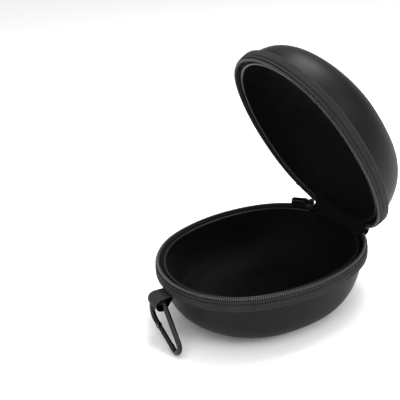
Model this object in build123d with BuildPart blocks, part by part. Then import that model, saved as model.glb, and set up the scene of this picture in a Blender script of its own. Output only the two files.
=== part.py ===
from build123d import *
from math import acos, asin, cos, degrees, radians, sin, sqrt
from types import SimpleNamespace
import os

# Headphone carrying case: two moulded bowls with an oval rim, joined by a fabric hinge band at the
# wide end and closed by a coil zipper round the rest of the rim. A webbing loop at the nose carries
# a spring-gate carabiner. Millimetres. X runs across the case, +Y towards the hinge, +Z up.
# The origin is the centre of the flat underside. The case stands open.

# Rim oval: a wide hinge end and a nose, joined by two long flank arcs
LENGTH = 200.0
HINGE_END_R = 79.0
NOSE_R = 78.0
FLANK_R = 140.0

# Heights, measured from the parting plane between base and lid
BASE_DEPTH = 59.5
LID_HEIGHT = 54.5
SHELL_EDGE = 6.0
OPEN_ANGLE = 62.0
HINGE_INSET = 9.0

# Wall: skin outside, foam core, lining inside
RIM_PROUD = 3.0
SKIN_T = 1.0
CORE_T = 3.2
LINING_T = 0.8
LAYER_GAP = 0.1

# Belt round the rim
TAPE_T = 2.7
TAPE_EDGE_R = 1.6
TAPE_NEAR = 4.3
TAPE_FAR = 13.0
COIL_OUT = 0.9
COIL_IN = 3.3
COIL_NEAR = 0.7
COIL_FAR = 4.1
PIPING_OUT = 7.0
PIPING_IN = 9.6
PIPING_NEAR = 3.4
PIPING_FAR = 5.9
THREAD_T = 0.3
THREAD_GAP = 0.02
THREAD_NEAR = 11.0
THREAD_FAR = 11.6
STOP_LENGTH_ANGLE = 1.6

# Slider and pull
SLIDER_ANGLE = 40.0
SLIDER_LENGTH = 17.0
PLATE_CORNER_R = 3.0
INNER_PLATE_CORNER_R = 2.5
BRIDGE_SINK = 0.5
BRIDGE_CORNER_R = 1.2
SLIDER_TOP = 4.0
SLIDER_BOTTOM = -5.5
PLATE_T = 1.6
PLATE_EDGE_R = 0.6
PLATE_STANDOFF = 0.35
INNER_PLATE_DEPTH = 4.35
INNER_PLATE_T = 1.2
WEB_HALF = 0.4
BRIDGE_LENGTH = 9.2
BRIDGE_WIDTH = 2.4
BRIDGE_TOP = 7.3
BRIDGE_WALL = 1.2
LINK_T = 1.1
LINK_FLOOR = 4.65
LINK_PIVOT = 2.2
LINK_REACH = 11.5
RING_WIDTH = 5.6
RING_CORNER_R = 1.1
NECK_WIDTH = 3.2
PEG_PROUD = 0.9
PEG_HEAD_LIP = 0.8
PEG_HEAD_T = 0.6
LINK_NECK_START = 5.9
LINK_BAR_R = 0.6
EYE_R = 2.9
TAB_WIDTH = 15.5
TAB_BORDER = 1.6
TAB_END_FLAT = 0.8
TAB_DISH = 0.4
NECK_OVERLAP = 2.0
TAB_LENGTH = 34.0
TAB_T = 2.2
TAB_FLOOR = 2.2
TAB_NECK_WIDTH = 6.4
TAB_NECK_LENGTH = 7.0
PEG_R = 1.2
PEG_CLEARANCE = 0.07

# Webbing loop and carabiner
LOOP_WIDTH = 17.0
WEBBING_T = 1.4
LOOP_ROOT = (-97.4, -16.2)
LOOP_EYE = (-107.4, -20.3)
LOOP_EYE_R = 5.0
LOOP_SLIT_R = 0.3
ROD_R = 2.3
WIDE_R = 13.0
NARROW_R = 6.3
CARABINER_SPAN = 33.0
CARABINER_TWIST = 8.0
ARC_SAG = 2.1
FLOOR_GAP = 0.4
GATE_START = 0.16
GATE_END = 0.84
GATE_GAP = 0.35
GATE_R = 2.1
GATE_BARREL_START = 2.65
TONGUE_T = 1.8
SLOT_T = 2.2
SLOT_R = 2.45
EAR_SPAN = 3.8
PIN_R = 0.7
PIN_LENGTH = 3.7
PIN_CLEARANCE = 0.05
PIN_SEAT = 0.01
SPRING_R = 1.0
SPRING_LENGTH = 9.0
SPRING_POCKET_GAP = 0.2

# Hinge fabric
BAND_T = 1.6
INNER_BULGE = 0.3  # of the strip thickness, at mid height
OUTER_BULGE = 1.4
BAND_INSET = 3.0
BAND_HALF_WIDTH = 36.0
BAND_STATIONS = 7
HINGE_LINING_T = 0.8
HINGE_LINING_INSET = 8.6
HINGE_LINING_NEAR = 5.5
HINGE_LINING_HALF_WIDTH = 32.0

# Derived places
HINGE_CENTRE_Y = LENGTH / 2 - HINGE_END_R
NOSE_CENTRE_Y = NOSE_R - LENGTH / 2
HINGE_Y = LENGTH / 2 - HINGE_INSET
BAND_ANGLE = degrees(acos((HINGE_END_R - HINGE_INSET) / HINGE_END_R))
TAPE_ANGLE = BAND_ANGLE + 1.0
LID_COIL_LEFT_ANGLE = 47.0


def tangent_geometry(squeeze):
    """Centre of the right flank arc and the directions in which it meets the two end arcs."""
    between = HINGE_CENTRE_Y - NOSE_CENTRE_Y - 2 * squeeze
    to_hinge = FLANK_R - HINGE_END_R
    to_nose = FLANK_R - NOSE_R
    along = (to_nose**2 - to_hinge**2 + between**2) / (2 * between)
    across = sqrt(to_nose**2 - along**2)
    hinge_side = degrees(asin((between - along) / to_hinge))
    nose_side = -degrees(asin(along / to_nose))
    return across, along, hinge_side, nose_side


def rim_curve(inset, squeeze=0, shift=0):
    """The rim oval, moved inwards by inset, its ends drawn in by squeeze, shifted along Y."""
    across, along, hinge_side, nose_side = tangent_geometry(squeeze)
    hinge_y = HINGE_CENTRE_Y - squeeze + shift
    nose_y = NOSE_CENTRE_Y + squeeze + shift
    flank_sweep = hinge_side - nose_side
    with BuildLine() as oval:
        CenterArc((0, hinge_y), HINGE_END_R - inset, hinge_side, 180 - 2 * hinge_side)
        CenterArc((across, nose_y + along), FLANK_R - inset, 180 - hinge_side, flank_sweep)
        CenterArc((0, nose_y), NOSE_R - inset, 180 - nose_side, 180 + 2 * nose_side)
        CenterArc((-across, nose_y + along), FLANK_R - inset, nose_side, flank_sweep)
    return oval.line


def turned_about_hinge(y, z, angle):
    """A point of the closed lid, given from the hinge axis, with the lid opened by angle."""
    turn = radians(angle)
    return y * cos(turn) + z * sin(turn), z * cos(turn) - y * sin(turn)


def lid_plane():
    """The parting plane as the open lid carries it."""
    dy, dz = turned_about_hinge(-HINGE_Y, 0, OPEN_ANGLE)
    turn = radians(OPEN_ANGLE)
    return Plane(
        origin=(0, HINGE_Y + dy, BASE_DEPTH + dz), x_dir=(1, 0, 0), z_dir=(0, sin(turn), cos(turn))
    )


BASE = SimpleNamespace(
    name="base", plane=Plane.XY.offset(BASE_DEPTH), side=-1, depth=BASE_DEPTH,
    draft=0.02, fullness=5.0, reach=0.985, squeeze=17.0, shift=-2.5, slope=0.0,
    coil_start=TAPE_ANGLE, coil_end=TAPE_ANGLE,
)
LID = SimpleNamespace(
    name="lid", plane=lid_plane(), side=1, depth=LID_HEIGHT,
    draft=0.01, fullness=3.8, reach=0.998, squeeze=16.0, shift=-9.0, slope=0.075,
    coil_start=TAPE_ANGLE, coil_end=LID_COIL_LEFT_ANGLE,
)


def wall_inset(half, share):
    """How far the skin stands inside the rim oval at a share of the bowl's depth."""
    closing = NOSE_R - RIM_PROUD
    rounding = closing * (1 - (1 - share**half.fullness) ** (1 / half.fullness))
    return RIM_PROUD + half.draft * half.depth * share + rounding


def bowl_sections(half, thickness, start):
    """Sections of the bowl's surface, moved inwards by thickness, from start to its closed end."""
    full_depth = (half.depth - thickness) / half.reach
    shares = [start / full_depth, 0.36, 0.56, 0.72, 0.83, 0.91, 0.96, half.reach]
    sections = []
    for share in shares:
        settled = share**2
        level = Plane(
            origin=half.plane.from_local_coords((0, 0, half.side * full_depth * share)),
            x_dir=half.plane.x_dir,
            z_dir=half.plane.z_dir - half.plane.y_dir * half.side * half.slope * settled,
        )
        inset = wall_inset(half, share) + thickness
        with BuildSketch(level) as section:
            make_face(rim_curve(inset, half.squeeze * settled, half.shift * settled).edges())
        sections.append(section.sketch.face())
    return sections


def hinge_wedge(right_angle, left_angle):
    """Sector about the wide end's centre that holds the hinge band."""
    reach = 2 * HINGE_END_R
    right = radians(right_angle)
    left = radians(left_angle)
    with BuildLine(mode=Mode.PRIVATE) as wedge:
        Polyline(
            (0, HINGE_CENTRE_Y),
            (reach * sin(right), HINGE_CENTRE_Y + reach * cos(right)),
            (-reach * sin(left), HINGE_CENTRE_Y + reach * cos(left)),
            close=True,
        )
    return wedge.line


def rim_strip(half, outside, inside, near, right_angle, left_angle):
    """Plan of a strip along the rim between two insets, open over the hinge band."""
    with BuildSketch(half.plane.offset(half.side * near)) as strip:
        make_face(rim_curve(outside).edges())
        make_face(rim_curve(inside).edges(), mode=Mode.SUBTRACT)
        make_face(hinge_wedge(right_angle, left_angle).edges(), mode=Mode.SUBTRACT)
    return strip.sketch


def finish(part, name):
    """Labels a finished piece and writes it."""
    part.label = name
    export_step(part, f"parts/{name}.step")


os.makedirs("parts", exist_ok=True)

# ---------------------------------------------------------------- the two bowls and their belts
CORE_IN = SKIN_T + LAYER_GAP
LINING_IN = CORE_IN + CORE_T + LAYER_GAP

for half in (BASE, LID):
    outwards = half.plane.z_dir * half.side

    with BuildPart() as skin:
        loft(bowl_sections(half, 0, SHELL_EDGE))
        loft(bowl_sections(half, SKIN_T, SHELL_EDGE - 1), mode=Mode.SUBTRACT)
    finish(skin.part, f"{half.name}_skin")

    with BuildPart() as core:
        loft(bowl_sections(half, CORE_IN, SHELL_EDGE))
        loft(bowl_sections(half, CORE_IN + CORE_T, SHELL_EDGE - 1), mode=Mode.SUBTRACT)
    finish(core.part, f"{half.name}_foam_core")

    with BuildPart() as lining:
        loft(bowl_sections(half, LINING_IN, SHELL_EDGE))
        loft(bowl_sections(half, LINING_IN + LINING_T, SHELL_EDGE - 1), mode=Mode.SUBTRACT)
    finish(lining.part, f"{half.name}_lining")

    with BuildPart() as tape:
        extrude(
            rim_strip(half, 0, TAPE_T, TAPE_NEAR, TAPE_ANGLE, TAPE_ANGLE),
            amount=TAPE_FAR - TAPE_NEAR,
            dir=outwards,
        )
        ring_edges = tape.edges().filter_by(GeomType.CIRCLE)
        outer_edges = [e for e in ring_edges if round(e.radius, 3) in (HINGE_END_R, NOSE_R, FLANK_R)]
        fillet(outer_edges, radius=TAPE_EDGE_R)
    finish(tape.part, f"{half.name}_zipper_tape")

    with BuildPart() as coil:
        extrude(
            rim_strip(half, COIL_OUT, COIL_IN, COIL_NEAR, half.coil_start + 2, half.coil_end + 2),
            amount=COIL_FAR - COIL_NEAR,
            dir=outwards,
        )
    finish(coil.part, f"{half.name}_zipper_coil")

    with BuildPart() as stops:
        with BuildSketch(half.plane.offset(half.side * COIL_NEAR)) as stop_plan:
            for side_sign in (1, -1):
                coil_angle = half.coil_start if side_sign > 0 else half.coil_end
                along = 90 - side_sign * (coil_angle + STOP_LENGTH_ANGLE / 2 + 0.2)
                middle_r = HINGE_END_R - (COIL_OUT + COIL_IN) / 2
                stop_x = middle_r * cos(radians(along))
                stop_y = HINGE_CENTRE_Y + middle_r * sin(radians(along))
                with Locations(Location((stop_x, stop_y, 0), (0, 0, along))):
                    Rectangle(COIL_IN - COIL_OUT, radians(STOP_LENGTH_ANGLE) * HINGE_END_R)
        extrude(amount=COIL_FAR - COIL_NEAR, dir=outwards)
    finish(stops.part, f"{half.name}_zipper_end_stops")

    with BuildPart() as piping:
        extrude(
            rim_strip(half, PIPING_OUT, PIPING_IN, PIPING_NEAR, TAPE_ANGLE, TAPE_ANGLE),
            amount=PIPING_FAR - PIPING_NEAR,
            dir=outwards,
        )
    finish(piping.part, f"{half.name}_inner_piping")

    with BuildPart() as thread:
        extrude(
            rim_strip(half, -THREAD_T, -THREAD_GAP, THREAD_NEAR, TAPE_ANGLE + 1, TAPE_ANGLE + 1),
            amount=THREAD_FAR - THREAD_NEAR,
            dir=outwards,
        )
    finish(thread.part, f"{half.name}_seam_thread")

# ---------------------------------------------------------------- fabric across the hinge
def ribbon_sections(inset, near, thickness, half_width):
    """Sections of a fabric strip that runs from the base to the open lid behind the hinge axis."""
    sections = []
    for station in range(BAND_STATIONS):
        x = half_width * (2 * station / (BAND_STATIONS - 1) - 1)
        behind = sqrt((HINGE_END_R - inset) ** 2 - x**2) + HINGE_CENTRE_Y - HINGE_Y
        low = Vector(behind, -near)
        high = Vector(*turned_about_hinge(behind, near, OPEN_ANGLE))
        middle = (low + high) / 2
        outwards = Vector(high.Y - low.Y, low.X - high.X).normalized() * thickness
        station_plane = Plane(origin=(x, HINGE_Y, BASE_DEPTH), x_dir=(0, 1, 0), z_dir=(1, 0, 0))
        with BuildSketch(station_plane) as section:
            with BuildLine():
                inner = ThreePointArc(low, middle + outwards * INNER_BULGE, high)
                outer = ThreePointArc(high + outwards, middle + outwards * OUTER_BULGE, low + outwards)
                Line(inner @ 1, outer @ 0)
                Line(outer @ 1, inner @ 0)
            make_face()
        sections.append(section.sketch.face())
    return sections


with BuildPart() as hinge_band:
    loft(ribbon_sections(BAND_INSET, TAPE_FAR, BAND_T, BAND_HALF_WIDTH))
finish(hinge_band.part, "hinge_band")

with BuildPart() as hinge_lining:
    loft(
        ribbon_sections(
            HINGE_LINING_INSET, HINGE_LINING_NEAR, HINGE_LINING_T, HINGE_LINING_HALF_WIDTH
        )
    )
finish(hinge_lining.part, "hinge_lining")

# ---------------------------------------------------------------- slider, link and pull tab
SLIDER_TURN = radians(SLIDER_ANGLE)
SLIDER_OUT = Vector(-sin(SLIDER_TURN), cos(SLIDER_TURN), 0)
SLIDER_ALONG = Vector(-cos(SLIDER_TURN), -sin(SLIDER_TURN), 0)
SLIDER_MID_Z = BASE_DEPTH + (SLIDER_TOP + SLIDER_BOTTOM) / 2
BELT_POINT = Vector(0, HINGE_CENTRE_Y, SLIDER_MID_Z) + SLIDER_OUT * HINGE_END_R
FACE = Plane(origin=BELT_POINT, x_dir=SLIDER_ALONG, z_dir=SLIDER_OUT)
SIDE_VIEW = Plane(origin=BELT_POINT, x_dir=SLIDER_ALONG, z_dir=(0, 0, -1))
SLIDER_HEIGHT = SLIDER_TOP - SLIDER_BOTTOM
PLATE_TOP = PLATE_STANDOFF + PLATE_T
INNER_PLATE_LENGTH = SLIDER_LENGTH - 3
INNER_PLATE_HEIGHT = SLIDER_HEIGHT - 1.3
RING_END = LINK_NECK_START + 1.5
NECK_ROOT = LINK_NECK_START + 0.5
PADDLE_LENGTH = TAB_LENGTH - TAB_NECK_LENGTH

with BuildPart() as slider_body:
    with BuildSketch(FACE.offset(PLATE_STANDOFF)):
        RectangleRounded(SLIDER_LENGTH, SLIDER_HEIGHT, PLATE_CORNER_R)
    extrude(amount=PLATE_T)
    fillet(slider_body.faces().sort_by(Axis(BELT_POINT, SLIDER_OUT))[-1].edges(), radius=PLATE_EDGE_R)
    with BuildSketch(FACE.offset(-INNER_PLATE_DEPTH - INNER_PLATE_T)):
        RectangleRounded(INNER_PLATE_LENGTH, INNER_PLATE_HEIGHT, INNER_PLATE_CORNER_R)
    extrude(amount=INNER_PLATE_T)
    with BuildSketch(FACE.offset(-INNER_PLATE_DEPTH)):
        with Locations((0, BASE_DEPTH - SLIDER_MID_Z)):
            Rectangle(SLIDER_LENGTH / 3, 2 * WEB_HALF)
    extrude(amount=PLATE_STANDOFF + INNER_PLATE_DEPTH)
    with BuildSketch(SIDE_VIEW) as bridge_profile:
        with Locations((0, (PLATE_TOP - BRIDGE_SINK + BRIDGE_TOP) / 2)):
            RectangleRounded(BRIDGE_LENGTH, BRIDGE_TOP - PLATE_TOP + BRIDGE_SINK, BRIDGE_CORNER_R)
        with Locations((0, (PLATE_TOP + BRIDGE_TOP - BRIDGE_WALL) / 2)):
            Rectangle(
                BRIDGE_LENGTH - 2 * BRIDGE_WALL,
                BRIDGE_TOP - BRIDGE_WALL - PLATE_TOP,
                mode=Mode.SUBTRACT,
            )
    extrude(amount=BRIDGE_WIDTH / 2, both=True)
finish(slider_body.part, "slider_body")

with BuildPart() as puller_link:
    with BuildSketch(FACE.offset(LINK_FLOOR)):
        with Locations((-(LINK_PIVOT - LINK_BAR_R + RING_END) / 2, 0)):
            RectangleRounded(RING_END - LINK_PIVOT + LINK_BAR_R, RING_WIDTH, RING_CORNER_R)
        with Locations((-(LINK_PIVOT + LINK_BAR_R + LINK_NECK_START) / 2, 0)):
            Rectangle(LINK_NECK_START - LINK_PIVOT - LINK_BAR_R, NECK_WIDTH, mode=Mode.SUBTRACT)
        with Locations((-(NECK_ROOT + LINK_REACH) / 2, 0)):
            Rectangle(LINK_REACH - NECK_ROOT, NECK_WIDTH)
        with Locations((-LINK_REACH, 0)):
            Circle(EYE_R)
    extrude(amount=LINK_T)
    with BuildSketch(FACE.offset(TAB_FLOOR - PEG_PROUD)):
        with Locations((-LINK_REACH, 0)):
            Circle(PEG_R + PEG_HEAD_LIP)
    extrude(amount=PEG_HEAD_T)
    with BuildSketch(FACE.offset(TAB_FLOOR - PEG_PROUD)):
        with Locations((-LINK_REACH, 0)):
            Circle(PEG_R)
    extrude(amount=LINK_FLOOR - TAB_FLOOR + PEG_PROUD)
finish(puller_link.part, "puller_link")

with BuildPart() as pull_tab:
    with BuildSketch(FACE.offset(TAB_FLOOR)):
        with Locations((-LINK_REACH, -(TAB_NECK_LENGTH + TAB_LENGTH) / 2)):
            RectangleRounded(TAB_WIDTH, PADDLE_LENGTH, TAB_WIDTH / 2 - TAB_END_FLAT)
        with Locations((-LINK_REACH, -(TAB_NECK_LENGTH + NECK_OVERLAP) / 2)):
            Rectangle(TAB_NECK_WIDTH, TAB_NECK_LENGTH + NECK_OVERLAP)
        with Locations((-LINK_REACH, 0)):
            Circle(TAB_NECK_WIDTH / 2)
            Circle(PEG_R + PEG_CLEARANCE, mode=Mode.SUBTRACT)
    extrude(amount=TAB_T)
    with BuildSketch(FACE.offset(TAB_FLOOR + TAB_T - TAB_DISH)):
        with Locations((-LINK_REACH, -(TAB_NECK_LENGTH + TAB_LENGTH) / 2)):
            RectangleRounded(
                TAB_WIDTH - 2 * TAB_BORDER,
                PADDLE_LENGTH - 2 * TAB_BORDER,
                TAB_WIDTH / 2 - TAB_BORDER - TAB_END_FLAT,
            )
    extrude(amount=TAB_DISH, mode=Mode.SUBTRACT)
finish(pull_tab.part, "pull_tab")

# ---------------------------------------------------------------- webbing loop and carabiner
with BuildPart() as webbing_loop:
    with BuildSketch(Plane(origin=(0, 0, BASE_DEPTH), x_dir=(0, 1, 0), z_dir=(1, 0, 0))):
        with BuildSketch(mode=Mode.PRIVATE) as outer_shape:
            with Locations(LOOP_EYE):
                Circle(LOOP_EYE_R + WEBBING_T)
            with Locations(LOOP_ROOT):
                Circle(WEBBING_T)
            make_hull()
        with BuildSketch(mode=Mode.PRIVATE) as inner_shape:
            with Locations(LOOP_EYE):
                Circle(LOOP_EYE_R)
            with Locations(LOOP_ROOT):
                Circle(LOOP_SLIT_R)
            make_hull()
        add(outer_shape.sketch)
        add(inner_shape.sketch, mode=Mode.SUBTRACT)
    extrude(amount=LOOP_WIDTH / 2, both=True)
finish(webbing_loop.part, "webbing_loop")


def carabiner_plane():
    """Plane of the carabiner's rod, centred in its wide bend, with the lower end just off the floor."""
    eye = Vector(0, LOOP_EYE[0], BASE_DEPTH + LOOP_EYE[1])
    centre = eye - Vector(0, 0, WIDE_R - ARC_SAG)
    drop = centre.Z - NARROW_R - ROD_R - FLOOR_GAP
    lean = acos(drop / CARABINER_SPAN)
    twist = radians(CARABINER_TWIST)
    across = Vector(cos(lean) * cos(twist), sin(twist), sin(lean) * cos(twist))
    upwards = Vector(-sin(lean), 0, cos(lean))
    return Plane(origin=centre, x_dir=across, z_dir=across.cross(upwards))


ROD_PLANE = carabiner_plane()
LEG_TURN = asin((WIDE_R - NARROW_R) / CARABINER_SPAN)
WIDE_TANGENT = Vector(WIDE_R * cos(LEG_TURN), -WIDE_R * sin(LEG_TURN))
NARROW_TANGENT = Vector(NARROW_R * cos(LEG_TURN), -CARABINER_SPAN - NARROW_R * sin(LEG_TURN))
LEG = NARROW_TANGENT - WIDE_TANGENT


def in_space(x, y):
    """A point of the rod's plane, in the case's coordinates."""
    return ROD_PLANE.from_local_coords((x, y))


def gate_side(share, beyond=0):
    """A point on the gate's leg, at a share of its length plus a distance further down."""
    point = WIDE_TANGENT + LEG * share + LEG.normalized() * beyond
    return in_space(-point.X, point.Y)


PIVOT = gate_side(GATE_START)
GATE_DIR = gate_side(1) - gate_side(0)
PIN_PLANE = Plane(origin=PIVOT, x_dir=GATE_DIR, z_dir=ROD_PLANE.z_dir)
BARREL_LENGTH = LEG.length * (GATE_END - GATE_START) - GATE_BARREL_START - GATE_GAP
SPRING_START = GATE_BARREL_START + 2.0


def disc_at_pin(radius, height):
    """A cylinder on the gate pin's axis, centred on the rod."""
    with BuildSketch(PIN_PLANE.offset(-height / 2)) as round_end:
        Circle(radius)
    return extrude(round_end.sketch, height, PIN_PLANE.z_dir)


def gate_plane(share, beyond=0):
    """A plane square to the gate's axis."""
    return Plane(origin=gate_side(share, beyond), x_dir=ROD_PLANE.z_dir, z_dir=GATE_DIR)


with BuildPart() as carabiner_body:
    with BuildLine() as rod_path:
        wide_end = in_space(WIDE_TANGENT.X, WIDE_TANGENT.Y)
        narrow_end = in_space(NARROW_TANGENT.X, NARROW_TANGENT.Y)
        Line(PIVOT, gate_side(0))
        ThreePointArc(gate_side(0), in_space(0, WIDE_R), wide_end)
        Line(wide_end, narrow_end)
        ThreePointArc(narrow_end, in_space(0, -CARABINER_SPAN - NARROW_R), gate_side(1))
        Line(gate_side(1), gate_side(GATE_END))
    with BuildSketch(gate_plane(GATE_START)):
        Circle(ROD_R)
    sweep()
    add(disc_at_pin(ROD_R, EAR_SPAN))
    add(disc_at_pin(SLOT_R, SLOT_T), mode=Mode.SUBTRACT)
    add(disc_at_pin(PIN_R + PIN_SEAT, 2 * EAR_SPAN), mode=Mode.SUBTRACT)
finish(carabiner_body.part, "carabiner_body")

with BuildPart() as carabiner_gate:
    with BuildSketch(gate_plane(GATE_START, GATE_BARREL_START)):
        Circle(GATE_R)
    extrude(amount=BARREL_LENGTH)
    add(disc_at_pin(GATE_R, TONGUE_T))
    with BuildSketch(gate_plane(GATE_START)):
        Rectangle(TONGUE_T, 2 * GATE_R)
    extrude(amount=GATE_BARREL_START)
    add(disc_at_pin(PIN_R + PIN_CLEARANCE, 2 * TONGUE_T), mode=Mode.SUBTRACT)
    with BuildSketch(gate_plane(GATE_START, SPRING_START)):
        Circle(SPRING_R + SPRING_POCKET_GAP)
    extrude(amount=SPRING_LENGTH + 2 * SPRING_POCKET_GAP, mode=Mode.SUBTRACT)
finish(carabiner_gate.part, "carabiner_gate")

with BuildPart() as gate_spring:
    with BuildSketch(gate_plane(GATE_START, SPRING_START + SPRING_POCKET_GAP)):
        Circle(SPRING_R)
    extrude(amount=SPRING_LENGTH)
finish(gate_spring.part, "gate_spring")

with BuildPart() as gate_pin:
    add(disc_at_pin(PIN_R, PIN_LENGTH))
finish(gate_pin.part, "gate_pin")
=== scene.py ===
import math

import bmesh
import bpy
import numpy as np
from mathutils import Matrix, Vector


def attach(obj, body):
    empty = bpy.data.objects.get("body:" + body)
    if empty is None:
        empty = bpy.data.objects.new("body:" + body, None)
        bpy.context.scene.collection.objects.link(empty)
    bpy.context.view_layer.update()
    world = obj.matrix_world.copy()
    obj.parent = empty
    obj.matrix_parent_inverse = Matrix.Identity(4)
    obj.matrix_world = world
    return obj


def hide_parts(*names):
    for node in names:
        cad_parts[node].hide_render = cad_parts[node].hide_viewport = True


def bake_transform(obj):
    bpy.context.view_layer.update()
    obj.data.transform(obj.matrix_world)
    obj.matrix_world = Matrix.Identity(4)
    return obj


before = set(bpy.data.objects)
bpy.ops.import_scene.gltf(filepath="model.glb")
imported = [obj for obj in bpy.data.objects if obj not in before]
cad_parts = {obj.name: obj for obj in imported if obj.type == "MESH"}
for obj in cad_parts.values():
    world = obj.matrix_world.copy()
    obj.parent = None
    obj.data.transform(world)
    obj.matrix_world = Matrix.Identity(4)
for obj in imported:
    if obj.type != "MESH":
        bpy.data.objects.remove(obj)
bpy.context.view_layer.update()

# Headphone carrying case, open. Lengths in the helpers are millimetres; meshes are made in metres.
MM = 0.001
HINGE_R, NOSE_R, FLANK_R = 79.0, 78.0, 140.0
HINGE_C, NOSE_C = 21.0, -22.0
RIM_Z, HINGE_Y, OPEN_ANGLE = 59.5, 91.0, 62.0
PROUD, SHELL_EDGE = 3.0, 6.0
# Degrees from the hinge's middle to the tape's ends, and to the left end of the lid's coil
TAPE_GAP, LID_COIL_GAP = 28.6, 47.0
TAPE_END = math.radians(90 - TAPE_GAP)
HALVES = {
    "base": dict(depth=59.5, draft=0.02, fullness=5.0, reach=0.985, squeeze=17.0, shift=-2.5, slope=0.0,
                 last_shares=[0.978]),
    "lid": dict(depth=54.5, draft=0.01, fullness=3.8, reach=0.998, squeeze=16.0, shift=-9.0, slope=0.075,
                last_shares=[0.985, 0.993]),
}
BODY = {"base": "case_base", "lid": "case_lid"}


# ------------------------------------------------------------------ shape of the case
def oval_at(theta, inset, squeeze=0.0, shift=0.0):
    """Points of the rim oval whose outward normal points at theta."""
    between = HINGE_C - NOSE_C - 2 * squeeze
    to_hinge, to_nose = FLANK_R - HINGE_R, FLANK_R - NOSE_R
    along = (to_nose**2 - to_hinge**2 + between**2) / (2 * between)
    across = math.sqrt(to_nose**2 - along**2)
    hinge_side = math.asin((between - along) / to_hinge)
    nose_side = -math.asin(along / to_nose)
    hinge_y = HINGE_C - squeeze + shift
    nose_y = NOSE_C + squeeze + shift
    c, s = np.cos(theta), np.sin(theta)
    lean = np.arctan2(s, np.abs(c))
    at_hinge, at_nose = lean > hinge_side, lean < nose_side
    cx = np.where(at_hinge | at_nose, 0.0, -across * np.sign(c))
    cy = np.where(at_hinge, hinge_y, np.where(at_nose, nose_y, nose_y + along))
    r = np.where(at_hinge, HINGE_R, np.where(at_nose, NOSE_R, FLANK_R)) - inset
    return cx + r * c, cy + r * s


def run_table():
    """Directions all round the oval, clockwise from the tape's right end, and the length run at each."""
    theta = np.linspace(TAPE_END, TAPE_END - 2 * math.pi, 4001)
    x, y = oval_at(theta, 0.0)
    run = np.concatenate([[0], np.cumsum(np.hypot(np.diff(x), np.diff(y)))])
    return theta, run


THETA_TABLE, RUN_TABLE = run_table()
STRIP_END = math.pi - TAPE_END - 2 * math.pi
STRIP_RUN = float(np.interp(-STRIP_END, -THETA_TABLE, RUN_TABLE))


def theta_at(run):
    return np.interp(run, RUN_TABLE, THETA_TABLE)


def placed(half, x, y, h):
    """Metres in the row frame for plan x, y and distance h from the parting plane."""
    x, y, h = np.broadcast_arrays(x, y, h)
    if half == "base":
        return np.stack([x, y, RIM_Z - h], -1) * MM
    turn = math.radians(OPEN_ANGLE)
    dy = y - HINGE_Y
    return np.stack([
        x,
        HINGE_Y + dy * math.cos(turn) + h * math.sin(turn),
        RIM_Z + h * math.cos(turn) - dy * math.sin(turn),
    ], -1) * MM


def bowl_row(half, theta, share, thickness):
    """One ring of the bowl's wall at a share of its depth."""
    k = HALVES[half]
    full = (k["depth"] - thickness) / k["reach"]
    closing = NOSE_R - PROUD
    rounding = closing * (1 - (1 - share ** k["fullness"]) ** (1 / k["fullness"]))
    inset = PROUD + k["draft"] * k["depth"] * share + rounding + thickness
    x, y = oval_at(theta, inset, k["squeeze"] * share**2, k["shift"] * share**2)
    h = full * share + k["slope"] * share**2 * y
    return x, y, h


# ------------------------------------------------------------------ mesh builders
def mesh_object(name, verts, faces, run=None):
    """A smooth-shaded object; run holds millimetres along and around it, for the weaves."""
    mesh = bpy.data.meshes.new(name)
    mesh.from_pydata([tuple(v) for v in verts], [], faces)
    if run is not None:
        att = mesh.attributes.new("run", "FLOAT_VECTOR", "POINT")
        att.data.foreach_set("vector", np.asarray(run, np.float32).ravel())
    mesh.validate()
    mesh.shade_smooth()
    obj = bpy.data.objects.new(name, mesh)
    bpy.context.scene.collection.objects.link(obj)
    return obj


def recalc(obj):
    """Turns all faces outwards."""
    bm = bmesh.new()
    bm.from_mesh(obj.data)
    bmesh.ops.recalc_face_normals(bm, faces=bm.faces)
    bm.to_mesh(obj.data)
    bm.free()
    return obj


def grid_faces(n, m, first=0):
    """Quads of n rows of m points, each row closed on itself."""
    i, j = np.meshgrid(np.arange(n - 1), np.arange(m), indexing="ij")
    j2 = (j + 1) % m
    quads = np.stack([i * m + j, (i + 1) * m + j, (i + 1) * m + j2, i * m + j2], -1)
    return (quads.reshape(-1, 4) + first).tolist()


def capped_faces(n, m):
    """The same, with a face on the first and on the last row."""
    return grid_faces(n, m) + [list(range(m)), [(n - 1) * m + j for j in reversed(range(m))]]


def run_field(along, around):
    """The run attribute, in metres, of a grid with millimetres along its rows and around each."""
    run = np.zeros((len(along), len(around), 3))
    run[..., 0] = along[:, None] * MM
    run[..., 1] = around[None, :] * MM
    return run.reshape(-1, 3)


def lengths_of(line):
    """The length run at each point of a line."""
    return np.concatenate([[0], np.cumsum(np.linalg.norm(np.diff(line, axis=0), axis=1))])


def swept(name, half, thetas, profile, runs):
    """A closed profile of (inset, h) carried round the oval and capped at both ends."""
    grid = np.stack([placed(half, *oval_at(thetas, a), b) for a, b in profile], 1)
    p = np.array(profile)
    around = np.concatenate([[0], np.cumsum(np.hypot(*np.diff(p, axis=0).T))])
    faces = capped_faces(len(thetas), len(profile))
    return recalc(mesh_object(name, grid.reshape(-1, 3), faces, run_field(runs, around)))


def ribbon(name, outside, inside, offset, run):
    """A closed strip between two faces of points in millimetres, with one row at each station."""
    grid = np.concatenate([np.array(outside), np.array(inside)[:, ::-1]], 1) + offset
    faces = capped_faces(*grid.shape[:2])
    return recalc(mesh_object(name, grid.reshape(-1, 3) * MM, faces, run))


# Any direction that no wire follows, to start the frames from; a wire's last ring is smaller
FRAME_START = (0.31, 0.17, 0.93)
WIRE_TIP = 0.45


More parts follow.
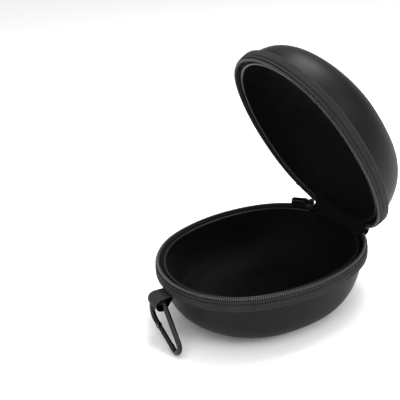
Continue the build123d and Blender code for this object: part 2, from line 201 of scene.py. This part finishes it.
def wires(name, paths, radius, sides=6):
    """Round wires along paths of points in metres, with narrowed ends."""
    verts, faces = [], []
    for path in paths:
        path = np.asarray(path, float)
        tangent = np.gradient(path, axis=0)
        tangent /= np.linalg.norm(tangent, axis=1)[:, None]
        up = np.array(FRAME_START)
        frames = []
        for t in tangent:
            up = up - t * (up @ t)
            up /= np.linalg.norm(up)
            frames.append((up, np.cross(t, up)))
        size = np.full(len(path), radius)
        size[[0, -1]] = radius * WIRE_TIP
        first = len(verts)
        angles = np.arange(sides) * 2 * math.pi / sides
        for p, (a, b), r in zip(path, frames, size):
            for w in angles:
                verts.append(p + r * (a * math.cos(w) + b * math.sin(w)))
        faces += grid_faces(len(path), sides, first)
        last = first + (len(path) - 1) * sides
        faces += [list(range(first, first + sides))[::-1], list(range(last, last + sides))]
    return recalc(mesh_object(name, verts, faces))


# ------------------------------------------------------------------ materials
def nodes_of(name):
    material = bpy.data.materials.new(name)
    material.use_nodes = True
    tree = material.node_tree
    return material, tree, tree.nodes["Principled BSDF"]


def add(tree, kind, **settings):
    node = tree.nodes.new(kind)
    for key, value in settings.items():
        if key in node.inputs:
            node.inputs[key].default_value = value
        else:
            setattr(node, key, value)
    return node


def math_node(tree, op, a, b=None, c=None):
    node = tree.nodes.new("ShaderNodeMath")
    node.operation = op
    for k, v in enumerate((a, b, c)):
        if v is None:
            continue
        if isinstance(v, (int, float)):
            node.inputs[k].default_value = v
        else:
            tree.links.new(v, node.inputs[k])
    return node.outputs[0]


def ramp(tree, fac, stops):
    node = tree.nodes.new("ShaderNodeValToRGB")
    for k, (pos, colour) in enumerate(stops):
        element = node.color_ramp.elements[k] if k < 2 else node.color_ramp.elements.new(pos)
        element.position = pos
        element.color = (*colour, 1) if len(colour) == 3 else colour
    tree.links.new(fac, node.inputs["Fac"])
    return node.outputs["Color"]


def grey(v, tint=(1, 1, 1)):
    return tuple(v * t for t in tint)


def noise(tree, scale, detail=4.0, rough=0.55):
    coord = add(tree, "ShaderNodeTexCoord")
    node = add(tree, "ShaderNodeTexNoise", Scale=scale, Detail=detail, Roughness=rough)
    tree.links.new(coord.outputs["Object"], node.inputs["Vector"])
    return node.outputs["Fac"]


def cells(tree, scale, feature="F1"):
    coord = add(tree, "ShaderNodeTexCoord")
    node = add(tree, "ShaderNodeTexVoronoi", Scale=scale)
    node.feature = feature
    tree.links.new(coord.outputs["Object"], node.inputs["Vector"])
    return node.outputs["Distance"]


def bump(tree, bsdf, height, strength, distance_mm, under=None):
    node = add(tree, "ShaderNodeBump", Strength=strength, Distance=distance_mm * MM)
    tree.links.new(height, node.inputs["Height"])
    if under is not None:
        tree.links.new(under, node.inputs["Normal"])
    tree.links.new(node.outputs["Normal"], bsdf.inputs["Normal"])
    return node.outputs["Normal"]


def colour_and_roughness(tree, bsdf, fac, dark, light, rough_low, rough_high):
    tree.links.new(ramp(tree, fac, [(0.3, dark), (0.7, light)]), bsdf.inputs["Base Color"])
    wide = rough_high - rough_low
    tree.links.new(math_node(tree, "MULTIPLY_ADD", fac, wide, rough_low), bsdf.inputs["Roughness"])


def skin_material():
    """Smooth coated cloth over moulded foam: matte, with a fine pebble grain."""
    material, tree, bsdf = nodes_of("skin_coated")
    fac = noise(tree, 26, 3)
    colour_and_roughness(tree, bsdf, fac, grey(0.0048), grey(0.0066), 0.42, 0.50)
    bsdf.inputs["Specular IOR Level"].default_value = 0.10
    pebble = bump(tree, bsdf, cells(tree, 1500, "SMOOTH_F1"), 0.12, 0.10)
    bump(tree, bsdf, noise(tree, 420, 5), 0.10, 0.12, pebble)
    return material


def weave(tree, pitch_u, pitch_v, diagonal=True):
    """Height of a weave drawn on the run attribute."""
    att = add(tree, "ShaderNodeAttribute", attribute_name="run")
    split = add(tree, "ShaderNodeSeparateXYZ")
    tree.links.new(att.outputs["Vector"], split.inputs[0])
    u = math_node(tree, "MULTIPLY", split.outputs[0], 2 * math.pi / (pitch_u * MM))
    v = math_node(tree, "MULTIPLY", split.outputs[1], 2 * math.pi / (pitch_v * MM))
    if diagonal:
        a = math_node(tree, "SINE", math_node(tree, "ADD", u, v))
        b = math_node(tree, "SINE", math_node(tree, "SUBTRACT", u, v))
        both = math_node(tree, "MULTIPLY", a, b)
        return math_node(tree, "MULTIPLY_ADD", both, 0.5, 0.5)
    a = math_node(tree, "ABSOLUTE", math_node(tree, "SINE", u))
    b = math_node(tree, "MULTIPLY_ADD", math_node(tree, "SINE", v), 0.25, 0.75)
    return math_node(tree, "MULTIPLY", a, b)


def woven_material(name, dark, light, pitch_u, pitch_v, diagonal=True, depth=0.35, sheen=0.05):
    material, tree, bsdf = nodes_of(name)
    height = weave(tree, pitch_u, pitch_v, diagonal)
    worn = noise(tree, 60, 4)
    # The weave's height also sets the colour: darker in its low points, as painted shade between the threads;
    # the noise adds random tone.
    painted_weave_shade = math_node(tree, "MULTIPLY", height, 0.75)
    wear = math_node(tree, "MULTIPLY", worn, 0.25)
    weave_shade_and_wear = math_node(tree, "ADD", painted_weave_shade, wear)
    colour_and_roughness(tree, bsdf, weave_shade_and_wear, dark, light, 0.6, 0.85)
    bsdf.inputs["Sheen Weight"].default_value = sheen
    bsdf.inputs["Sheen Roughness"].default_value = 0.4
    bsdf.inputs["Specular IOR Level"].default_value = 0.12
    fibres = bump(tree, bsdf, noise(tree, 2600, 3), 0.35, 0.12)
    bump(tree, bsdf, height, 0.9, depth, fibres)
    return material


def lining_material():
    """Brushed black knit."""
    material, tree, bsdf = nodes_of("lining_knit")
    fac = noise(tree, 70, 6, 0.65)
    colour_and_roughness(tree, bsdf, fac, grey(0.0012, (1, 0.93, 1)), grey(0.0034, (1, 0.93, 1)), 0.6, 0.8)
    bsdf.inputs["Sheen Weight"].default_value = 0.01
    bsdf.inputs["Sheen Roughness"].default_value = 0.4
    bsdf.inputs["Specular IOR Level"].default_value = 0.09
    knit = bump(tree, bsdf, cells(tree, 1100), 0.5, 0.25)
    bump(tree, bsdf, noise(tree, 160, 5), 0.35, 0.5, knit)
    return material


def gloss_material(name, colour, rough, coat=0.0, metallic=0.0, scratch=0.04, shine=0.35):
    material, tree, bsdf = nodes_of(name)
    fac = noise(tree, 150, 5)
    lighter = tuple(min(1, c * 1.35 + 0.002) for c in colour)
    colour_and_roughness(tree, bsdf, fac, colour, lighter, rough, rough + 0.12)
    bsdf.inputs["Metallic"].default_value = metallic
    bsdf.inputs["Coat Weight"].default_value = coat
    bsdf.inputs["Coat Roughness"].default_value = 0.12
    bsdf.inputs["Specular IOR Level"].default_value = shine
    bump(tree, bsdf, noise(tree, 900, 4), scratch, 0.1)
    return material


TAPE_TINT, LOOP_TINT = (1, 0.93, 0.95), (1, 0.93, 0.92)
MAT = {
    "skin": skin_material(),
    "tape": woven_material(
        "tape_weave", grey(0.0012, TAPE_TINT), grey(0.034, TAPE_TINT), 3.4, 3.4, depth=0.5, sheen=0.02),
    "lining": lining_material(),
    # The coil's grey is partly the nylon's own dark colour and partly a painted highlight for the shine on
    # its turns.
    "coil": gloss_material("coil_nylon_painted_highlight", grey(0.06), 0.28, coat=0.2),
    "stop": woven_material("bar_tack_thread", grey(0.006), grey(0.02), 0.7, 0.7, False),
    "piping": gloss_material("piping_gloss", grey(0.004), 0.30, coat=0.05, shine=0.2),
    "thread": gloss_material("sewing_thread", grey(0.010), 0.5),
    "band": woven_material("hinge_webbing", grey(0.004), grey(0.018), 1.5, 1.5),
    "loop": woven_material(
        "loop_webbing", grey(0.003, LOOP_TINT), grey(0.045, LOOP_TINT), 2.6, 1.3, False, sheen=0.02),
    "metal": gloss_material("black_metal", grey(0.004), 0.22, coat=0.05, scratch=0.015, shine=0.3),
    "rod": gloss_material("carabiner_black", grey(0.002), 0.11, scratch=0.006, shine=0.28),
    "rubber": gloss_material("tab_rubber", grey(0.012), 0.42),
    "steel": gloss_material("plain_steel", grey(0.45), 0.3, metallic=1.0),
}


def dress(obj, material, body, slot, *nodes):
    obj.data.materials.clear()
    obj.data.materials.append(MAT[material])
    if nodes:
        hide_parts(*nodes)
    if body:
        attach(obj, body)
    return obj


# ------------------------------------------------------------------ bowls
RING = np.linspace(0, 2 * math.pi, 288, endpoint=False)
SHARES = [
    0.14, 0.2, 0.28, 0.36, 0.44, 0.52, 0.59, 0.65, 0.71, 0.76,
    0.8, 0.84, 0.87, 0.9, 0.92, 0.94, 0.955, 0.97,
]
CROWN_STEPS = (0.86, 0.7, 0.52, 0.34, 0.17)


def bowl_surface(half, thickness, start, crease=None):
    """Rings from the rim to the crown's centre, as an array of points in millimetres."""
    k = HALVES[half]
    full = (k["depth"] - thickness) / k["reach"]
    shares = [start / full, *SHARES, *k["last_shares"], k["reach"]]
    rings = []
    for share in shares:
        x, y, h = bowl_row(half, RING, share, thickness)
        if crease is not None:
            h, x, y = crease(half, share, x, y, h)
        rings.append(np.stack([x, y, h], -1))
    last = rings[-1]
    centre = last.mean(0)
    for step in CROWN_STEPS:
        rings.append(centre + (last - centre) * step)
    return rings, centre


def shell(name, half, outer, inner):
    """A closed shell between two bowl surfaces."""
    (rows_out, centre_out), (rows_in, centre_in) = outer, inner
    rows = rows_out[::-1] + rows_in
    n, m = len(rows), len(RING)
    points = np.concatenate([np.concatenate(rows), [centre_out], [centre_in]])
    verts = placed(half, points[:, 0], points[:, 1], points[:, 2])
    faces = grid_faces(n, m)
    pole_out, pole_in = n * m, n * m + 1
    for j in range(m):
        j2 = (j + 1) % m
        faces.append([pole_out, j2, j])
        faces.append([pole_in, (n - 1) * m + j, (n - 1) * m + j2])
    return recalc(mesh_object(name, verts, faces))


# The fold's place and width as shares of the depth, and lifts off the wall in millimetres
FOLD_SHARE, FOLD_WIDTH = 0.80, 0.035
FOLD_LIFT, SLACK = 1.7, 0.45
MEAN_R = 90.0


def lining_crease(half, share, x, y, h):
    """Moulded fold where the wall turns into the crown, and slack between its ends."""
    fold = math.exp(-(((share - FOLD_SHARE) / FOLD_WIDTH) ** 2))
    waves = np.sin(3 * RING + 0.6) * 0.5 + np.sin(7 * RING + 1.9) * 0.3 + np.sin(13 * RING) * 0.2
    lift = FOLD_LIFT * fold * (0.75 + 0.25 * waves) + SLACK * share * waves * (share > 0.3)
    scale = 1 - lift / MEAN_R
    return h - 0.4 * lift, x * scale, y * scale


def rim_facing(rings, inset_outer):
    """Adds the turned edge of the lining, over the foam and out to the zipper tape."""
    extra = []
    for inset, h in ((inset_outer, 5.5), (inset_outer + 0.5, 5.0), (inset_outer + 2.5, 5.0)):
        x, y = oval_at(RING, inset)
        extra.append(np.stack([x, y, np.full_like(x, h)], -1))
    return extra + rings


# Millimetres: depths under the skin's face, then the places of the lining's turned edge
SKIN_T, LINING_BACK, LINING_FACE = 1.0, 4.5, 5.2
LINING_BACK_GAP, LINING_EDGE_H = 0.4, 6.2
FACING_INSET, FACING_BACK_INSET = 3.9, 4.0

for half in HALVES:
    outside, inside = bowl_surface(half, 0.0, SHELL_EDGE), bowl_surface(half, SKIN_T, SHELL_EDGE)
    skin = shell(f"{half}_skin_cover", half, outside, inside)
    dress(skin, "skin", BODY[half], "outer_skin", f"{half}_skin", f"{half}_foam_core")

    rings_in, centre_in = bowl_surface(half, LINING_FACE, SHELL_EDGE, lining_crease)
    rings_out, centre_out = bowl_surface(half, LINING_BACK, SHELL_EDGE + LINING_BACK_GAP)
    over = rim_facing(rings_in, FACING_INSET)
    under_x, under_y = oval_at(RING, FACING_BACK_INSET)
    under = [np.stack([under_x, under_y, np.full_like(under_x, LINING_EDGE_H)], -1)] + rings_out
    cloth = shell(f"{half}_lining_cloth", half, (under, centre_out), (over, centre_in))
    dress(cloth, "lining", BODY[half], "lining_cloth", f"{half}_lining")


# ------------------------------------------------------------------ belts
def rounded(corners, radius, steps=4):
    """A closed profile with its corners rounded."""
    out = []
    pts = [np.array(c, float) for c in corners]
    for k, p in enumerate(pts):
        a, b = pts[k - 1], pts[(k + 1) % len(pts)]
        r = radius[k] if isinstance(radius, (list, tuple)) else radius
        da, db = (a - p) / np.linalg.norm(a - p), (b - p) / np.linalg.norm(b - p)
        for t in np.linspace(0, 1, steps + 1):
            out.append(p + da * r * (1 - t) ** 2 + db * r * t**2)
    return [tuple(q) for q in out]


def strip(start, end, step):
    """Directions and run lengths from start to end mm after the right end of the tape."""
    runs = np.linspace(start, end, max(2, int((end - start) / step)))
    return theta_at(runs), runs


# Length left out at the left end of each coil
LEFT_CUT = {"base": 0.0, "lid": math.radians(LID_COIL_GAP - TAPE_GAP) * HINGE_R}
# Profiles as (inset, h), closed
WELT_PROFILE = rounded(
    [(2.8, 12.7), (2.8, 4.6), (1.5, 4.1), (0.25, 5.0), (-0.2, 6.6), (-0.2, 10.8), (0.3, 12.4), (1.6, 13.0)],
    [0.3, 0.3, 0.6, 0.9, 1.0, 1.0, 0.8, 0.5], 4)
FLANGE_PROFILE = rounded([(3.4, 6.2), (3.4, 1.2), (3.85, 1.2), (3.85, 6.2)], 0.15, 2)
LIP_PROFILE = rounded([(0.25, 5.2), (0.12, 4.5), (0.2, 3.2), (0.5, 2.85), (0.8, 3.2), (0.85, 5.2)], 0.15, 3)
FILLER_PROFILE = rounded([(1.55, 1.35), (3.35, 1.35), (3.35, 3.6), (1.55, 3.6)], 0.3)
CIRCLE = np.linspace(0, 2 * math.pi, 14, endpoint=False)
PIPING_PROFILE = [(8.3 + 1.28 * math.cos(c), 4.65 + 1.24 * math.sin(c)) for c in CIRCLE]
TAPE_STEP = 1.6
# The base's lip stops this far before the tape's left end, to leave room for the slider
SLIDER_RUN = 60.0
COIL_PITCH, WIRE_R, TURN_POINTS = 1.9, 0.38, 14
COIL_INSET, COIL_HALF_WIDTH = 2.2, 0.72
COIL_H, COIL_HALF_HEIGHT = 2.40, 1.28
COIL_SQUARE = 0.55
COIL_START = 2.6
TACK_TURNS, TACK_STEP, TACK_POINTS, TACK_R = 7, 0.33, 15, 0.22
STITCH_PITCH, STITCH_LENGTH, STITCH_POINTS, STITCH_R = 4.1, 3.0, 6, 0.2
STITCH_START, STITCH_STOP, STITCH_H = 4.0, 6.0, 11.3


def squared(wave):
    """A round wave flattened at its tops."""
    return np.sign(wave) * np.abs(wave) ** COIL_SQUARE


def coil_path(start, end):
    """A coil zipper's filament: a flattened helix that moves on only in the second half of each turn."""
    turns = (end - start) / COIL_PITCH
    t = np.linspace(0, turns, int(turns * TURN_POINTS))
    a = 2 * math.pi * t
    inset = COIL_INSET + COIL_HALF_WIDTH * squared(np.cos(a))
    h = COIL_H - COIL_HALF_HEIGHT * squared(np.sin(a))
    step = np.clip((t - np.floor(t) - 0.5) * 2, 0, 1)
    run = start + (np.floor(t) + step) * COIL_PITCH
    return run, inset, h


def tack_paths(half, centre):
    """The turns of thread of one bar tack, round the tape's edge."""
    ring = np.linspace(0, 2 * math.pi, TACK_POINTS)
    paths = []
    for k in range(TACK_TURNS):
        at = centre - 1.0 + k * TACK_STEP
        x, y = oval_at(np.full(TACK_POINTS, theta_at(at)), 2.1 + 1.15 * np.cos(ring))
        paths.append(placed(half, x, y, 2.4 + 1.6 * np.sin(ring)))
    return paths


def stitch_paths(half):
    """The stitches of the seam in the welt, each rising a little out of it."""
    rise = np.sin(np.linspace(0, math.pi, STITCH_POINTS))
    slant = 0.15 * np.linspace(-1, 1, STITCH_POINTS)
    paths = []
    for begin in np.arange(STITCH_START, STRIP_RUN - STITCH_STOP, STITCH_PITCH):
        at = begin + np.linspace(0, STITCH_LENGTH, STITCH_POINTS)
        x, y = oval_at(theta_at(at), 0.05 - 0.22 * rise)
        paths.append(placed(half, x, y, STITCH_H + slant))
    return paths


for half in HALVES:
    thetas, runs = strip(0.0, STRIP_RUN, TAPE_STEP)
    welt = swept(f"{half}_tape_welt", half, thetas, WELT_PROFILE, runs)
    dress(welt, "tape", BODY[half], "zipper_tape", f"{half}_zipper_tape")
    lip_end = STRIP_RUN - (SLIDER_RUN if half == "base" else LEFT_CUT[half])
    lip_thetas, lip_runs = strip(0.0, lip_end, TAPE_STEP)
    lip = swept(f"{half}_tape_lip", half, lip_thetas, LIP_PROFILE, lip_runs)
    dress(lip, "tape", BODY[half], "zipper_tape")
    flange = swept(f"{half}_tape_flange", half, thetas, FLANGE_PROFILE, runs)
    dress(flange, "tape", BODY[half], "zipper_tape")

    coil_end = STRIP_RUN - LEFT_CUT[half] - COIL_START
    run, inset, h = coil_path(COIL_START, coil_end)
    x, y = oval_at(theta_at(run), inset)
    coil = wires(f"{half}_coil_teeth", [placed(half, x, y, h)], WIRE_R * MM, 6)
    dress(coil, "coil", BODY[half], "zipper_coil", f"{half}_zipper_coil")
    filler = swept(f"{half}_coil_filler_cord", half, thetas, FILLER_PROFILE, runs)
    dress(filler, "stop", BODY[half], "zipper_tape")

    tack_turns = tack_paths(half, COIL_START / 2) + tack_paths(half, coil_end + COIL_START / 2)
    tacks = wires(f"{half}_bar_tacks", tack_turns, TACK_R * MM, 5)
    dress(tacks, "thread", BODY[half], "bar_tack", f"{half}_zipper_end_stops")
    piping = swept(f"{half}_rim_piping", half, thetas, PIPING_PROFILE, runs)
    dress(piping, "piping", BODY[half], "piping", f"{half}_inner_piping")
    seam = wires(f"{half}_welt_stitches", stitch_paths(half), STITCH_R * MM, 6)
    dress(seam, "thread", BODY[half], "thread", f"{half}_seam_thread")


# ------------------------------------------------------------------ hinge fabric
def turned(y, z):
    """A point beside the hinge axis, turned with the open lid."""
    turn = math.radians(OPEN_ANGLE)
    return y * math.cos(turn) + z * math.sin(turn), z * math.cos(turn) - y * math.sin(turn)


def smooth_line(points, steps):
    """A smooth line through a few points."""
    p = np.array([2 * np.array(points[0]) - points[1], *points, 2 * np.array(points[-1]) - points[-2]])
    out = []
    for k in range(1, len(p) - 2):
        for t in np.linspace(0, 1, steps, endpoint=False):
            a, b, c, d = p[k - 1], p[k], p[k + 1], p[k + 2]
            square, cube = 2 * a - 5 * b + 4 * c - d, 3 * b - a - 3 * c + d
            out.append(0.5 * (2 * b + (c - a) * t + square * t**2 + cube * t**3))
    out.append(p[-2])
    return np.array(out)


# The bulge is smaller on the slider's side, and grows over this width; ribs and edges in millimetres
PULLER_SIDE_PUSH, PUSH_WIDTH = 0.7, 24
RIB_HEIGHT, EDGE_WIDTH, LINE_STEPS = 0.22, 1.0, 9
ENDS_SHARE = 0.72


def hinge_strip(name, inset, far, near, push, thickness, ribs, half_width, end_inset=None):
    """A strip of fabric from the base, behind the hinge axis, to the lid."""
    stations = np.linspace(-half_width, half_width, 57)
    outer, inner = [], []
    for x in stations:
        here = inset
        if end_inset is not None:
            turn_out = min(1.0, max(0.0, (abs(x) - ENDS_SHARE * half_width) / (0.28 * half_width)))
            here = inset + (end_inset - inset) * turn_out * turn_out * (3 - 2 * turn_out)
        behind = math.sqrt((HINGE_R - here) ** 2 - x**2) + HINGE_C - HINGE_Y
        low = [(behind, -far), (behind + 0.2, -near)]
        high = [turned(behind + 0.2, near), turned(behind, far)]
        middle = (np.array(low[1]) + np.array(high[0])) / 2
        chord = np.array(high[0]) - np.array(low[1])
        side = np.array([chord[1], -chord[0]]) / np.linalg.norm(chord)
        growth = min(1.0, max(0.0, (x + half_width) / PUSH_WIDTH))
        bulge = PULLER_SIDE_PUSH + (push - PULLER_SIDE_PUSH) * growth
        line = smooth_line([*low, tuple(middle + side * bulge), *high], LINE_STEPS)
        along = np.gradient(line, axis=0)
        along /= np.linalg.norm(along, axis=1)[:, None]
        normal = np.stack([along[:, 1], -along[:, 0]], 1)
        t = np.linspace(0, 1, len(line))
        relief = RIB_HEIGHT * np.abs(np.sin(math.pi * ribs * t))[:, None]
        edge = min(1.0, (half_width - abs(x)) / EDGE_WIDTH) ** 0.5
        depth = thickness * (0.55 + 0.45 * edge) + relief
        outer.append(np.c_[np.full(len(line), x), line + normal * depth])
        inner.append(np.c_[np.full(len(line), x), line])
    lengths = lengths_of(line)
    run = run_field(stations, np.concatenate([lengths, lengths[::-1]]))
    return ribbon(name, outer, inner, (0, HINGE_Y, RIM_Z), run)


band = hinge_strip(
    "hinge_webbing_band", inset=2.8, far=13.0, near=7.0, push=3.4, thickness=1.2, ribs=15, half_width=36.0)
dress(band, "band", None, "webbing_black", "hinge_band")
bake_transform(band)
flap = hinge_strip(
    "hinge_lining_flap", inset=9.6, far=15.0, near=5.5, push=0.8, thickness=0.7, ribs=0, half_width=37.0,
    end_inset=4.2)
dress(flap, "lining", None, "lining_cloth", "hinge_lining")
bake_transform(flap)

# ------------------------------------------------------------------ webbing loop
LOOP_ROOT, LOOP_EYE, EYE_R = np.array([-97.4, -16.2]), np.array([-107.4, -20.3]), 5.0
WEB_T, WEB_W, RIB_PITCH, RIB_RISE = 1.4, 17.0, 1.3, 0.2
LEG_STEPS, ARC_STEPS = 50, 120
# Stations across the webbing, closer at its edges
HALF_EDGE = [7.9, 8.2, 8.4, 8.5]
WEB_STATIONS = np.concatenate([[-x for x in HALF_EDGE[::-1]], np.linspace(-7.4, 7.4, 25), HALF_EDGE])


def loop_line():
    """The webbing's inner face, from the root over the eye and back, with its outward normals."""
    axis = LOOP_ROOT - LOOP_EYE
    reach = np.linalg.norm(axis)
    heading = math.atan2(axis[1], axis[0])
    open_angle = math.acos(EYE_R / reach)
    arc = np.linspace(heading + open_angle, heading + 2 * math.pi - open_angle, ARC_STEPS)
    normals = np.stack([np.cos(arc), np.sin(arc)], 1)
    circle = LOOP_EYE + EYE_R * normals
    upper = LOOP_ROOT + normals[0] * 0.15
    lower = LOOP_ROOT + normals[-1] * 0.15
    steps = np.linspace(0, 1, LEG_STEPS, endpoint=False)[:, None]
    start = upper + (circle[0] - upper) * steps
    finish = circle[-1] + (lower - circle[-1]) * (steps + 1 / LEG_STEPS)
    line = np.concatenate([start, circle, finish])
    upper_normals = np.repeat(normals[:1], LEG_STEPS, 0)
    lower_normals = np.repeat(normals[-1:], LEG_STEPS, 0)
    normal = np.concatenate([upper_normals, normals, lower_normals])
    return line, normal


def webbing(name):
    """The folded webbing, ribbed on the outside."""
    line, normal = loop_line()
    length = lengths_of(line)
    rib = np.abs(np.sin(length * math.pi / RIB_PITCH))[:, None]
    edge = np.clip((WEB_W / 2 - np.abs(WEB_STATIONS)) / 0.7, 0, 1) ** 0.5
    outside, inside = [], []
    for x, e in zip(WEB_STATIONS, edge):
        lift = WEB_T * 0.5 + (WEB_T * 0.5 - RIB_RISE) * e + RIB_RISE * rib * e
        low = WEB_T * 0.5 * (1 - e)
        outside.append(np.c_[np.full(len(line), x), line + normal * lift])
        inside.append(np.c_[np.full(len(line), x), line + normal * low])
    # the weave's ribs run across the webbing, so along and around change places
    run = run_field(WEB_STATIONS, np.concatenate([length, length[::-1]]))[:, [1, 0, 2]]
    return ribbon(name, outside, inside, (0, 0, RIM_Z), run)


dress(webbing("strap_loop"), "loop", "loop", "webbing_grey", "webbing_loop")

# ------------------------------------------------------------------ hardware kept from the CAD
KEPT = {
    "slider_body": "metal", "puller_link": "metal", "pull_tab": "rubber",
    "carabiner_body": "rod", "carabiner_gate": "rod", "gate_pin": "steel", "gate_spring": "steel",
}
for node, material in KEPT.items():
    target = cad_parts[node]
    if not target.material_slots:
        target.data.materials.append(MAT[material])
    for place in target.material_slots:
        place.material = MAT[material]

# ------------------------------------------------------------------ room, light, camera
# The floor lies this far under the case, in metres, so that the two never share a plane
FLOOR_GAP, FLOOR_HALF = 0.0004, 15
PALE = 0.95
floor_mesh = bpy.data.meshes.new("floor")
corners = [(-FLOOR_HALF, -FLOOR_HALF, 0), (FLOOR_HALF, -FLOOR_HALF, 0),
           (FLOOR_HALF, FLOOR_HALF, 0), (-FLOOR_HALF, FLOOR_HALF, 0)]
floor_mesh.from_pydata(corners, [], [(0, 1, 2, 3)])
floor = bpy.data.objects.new("floor", floor_mesh)
floor.location.z = -FLOOR_GAP
bpy.context.scene.collection.objects.link(floor)
floor_material, floor_tree, floor_bsdf = nodes_of("pale_floor")
floor_bsdf.inputs["Base Color"].default_value = (PALE, PALE, PALE, 1)
floor_bsdf.inputs["Roughness"].default_value = 0.7
floor_mesh.materials.append(floor_material)

world = bpy.data.worlds.new("studio")
bpy.context.scene.world = world
world.use_nodes = True
background = world.node_tree.nodes["Background"]
sky_coord = add(world.node_tree, "ShaderNodeTexCoord")
sky_split = add(world.node_tree, "ShaderNodeSeparateXYZ")
world.node_tree.links.new(sky_coord.outputs["Generated"], sky_split.inputs[0])
sky = ramp(world.node_tree, sky_split.outputs[2], [(0.0, grey(PALE)), (0.30, grey(0.34)), (0.12, grey(PALE))])
world.node_tree.links.new(sky, background.inputs["Color"])
background.inputs["Strength"].default_value = 1.0


def softbox(name, place, aim, size, power):
    data = bpy.data.lights.new(name, "AREA")
    data.shape = "RECTANGLE"
    data.size, data.size_y = size
    data.energy = power
    light = bpy.data.objects.new(name, data)
    light.location = place
    light.rotation_euler = (Vector(aim) - Vector(place)).to_track_quat("-Z", "Y").to_euler()
    bpy.context.scene.collection.objects.link(light)


sun_data = bpy.data.lights.new("sky_panel", "SUN")
sun_data.energy = 1.9
sun_data.angle = math.radians(70)
sun = bpy.data.objects.new("sky_panel", sun_data)
sun.rotation_euler = Vector((-0.28, 0.10, -1.0)).to_track_quat("-Z", "Y").to_euler()
bpy.context.scene.collection.objects.link(sun)
softbox("key_soft", (-0.12, 0.36, 1.15), (0.02, 0.03, 0.18), (0.55, 0.5), 16)
softbox("side_soft", (1.0, 0.45, 0.75), (0.05, 0.05, 0.15), (0.5, 0.4), 5)
softbox("fill_soft", (0.5, -0.9, 0.35), (0, 0, 0.06), (0.7, 0.4), 2.5)

CAM_AT = Vector((0.445847, -0.290329, 0.353542))
CAM_FORWARD = Vector((-0.805786, 0.417404, -0.420099)).normalized()
CAM_UP = Vector((-0.335386, 0.26301, 0.904622)).normalized()
right = CAM_FORWARD.cross(CAM_UP).normalized()
up = right.cross(CAM_FORWARD)
camera_data = bpy.data.cameras.new("camera")
camera_data.lens = 59.4487
camera_data.sensor_width = 36.0
camera_data.clip_start = 0.01
camera = bpy.data.objects.new("camera", camera_data)
camera.matrix_world = Matrix((
    (right.x, up.x, -CAM_FORWARD.x, CAM_AT.x),
    (right.y, up.y, -CAM_FORWARD.y, CAM_AT.y),
    (right.z, up.z, -CAM_FORWARD.z, CAM_AT.z),
    (0, 0, 0, 1),
))
bpy.context.scene.collection.objects.link(camera)
bpy.context.scene.camera = camera
bpy.context.scene.view_settings.view_transform = "Standard"
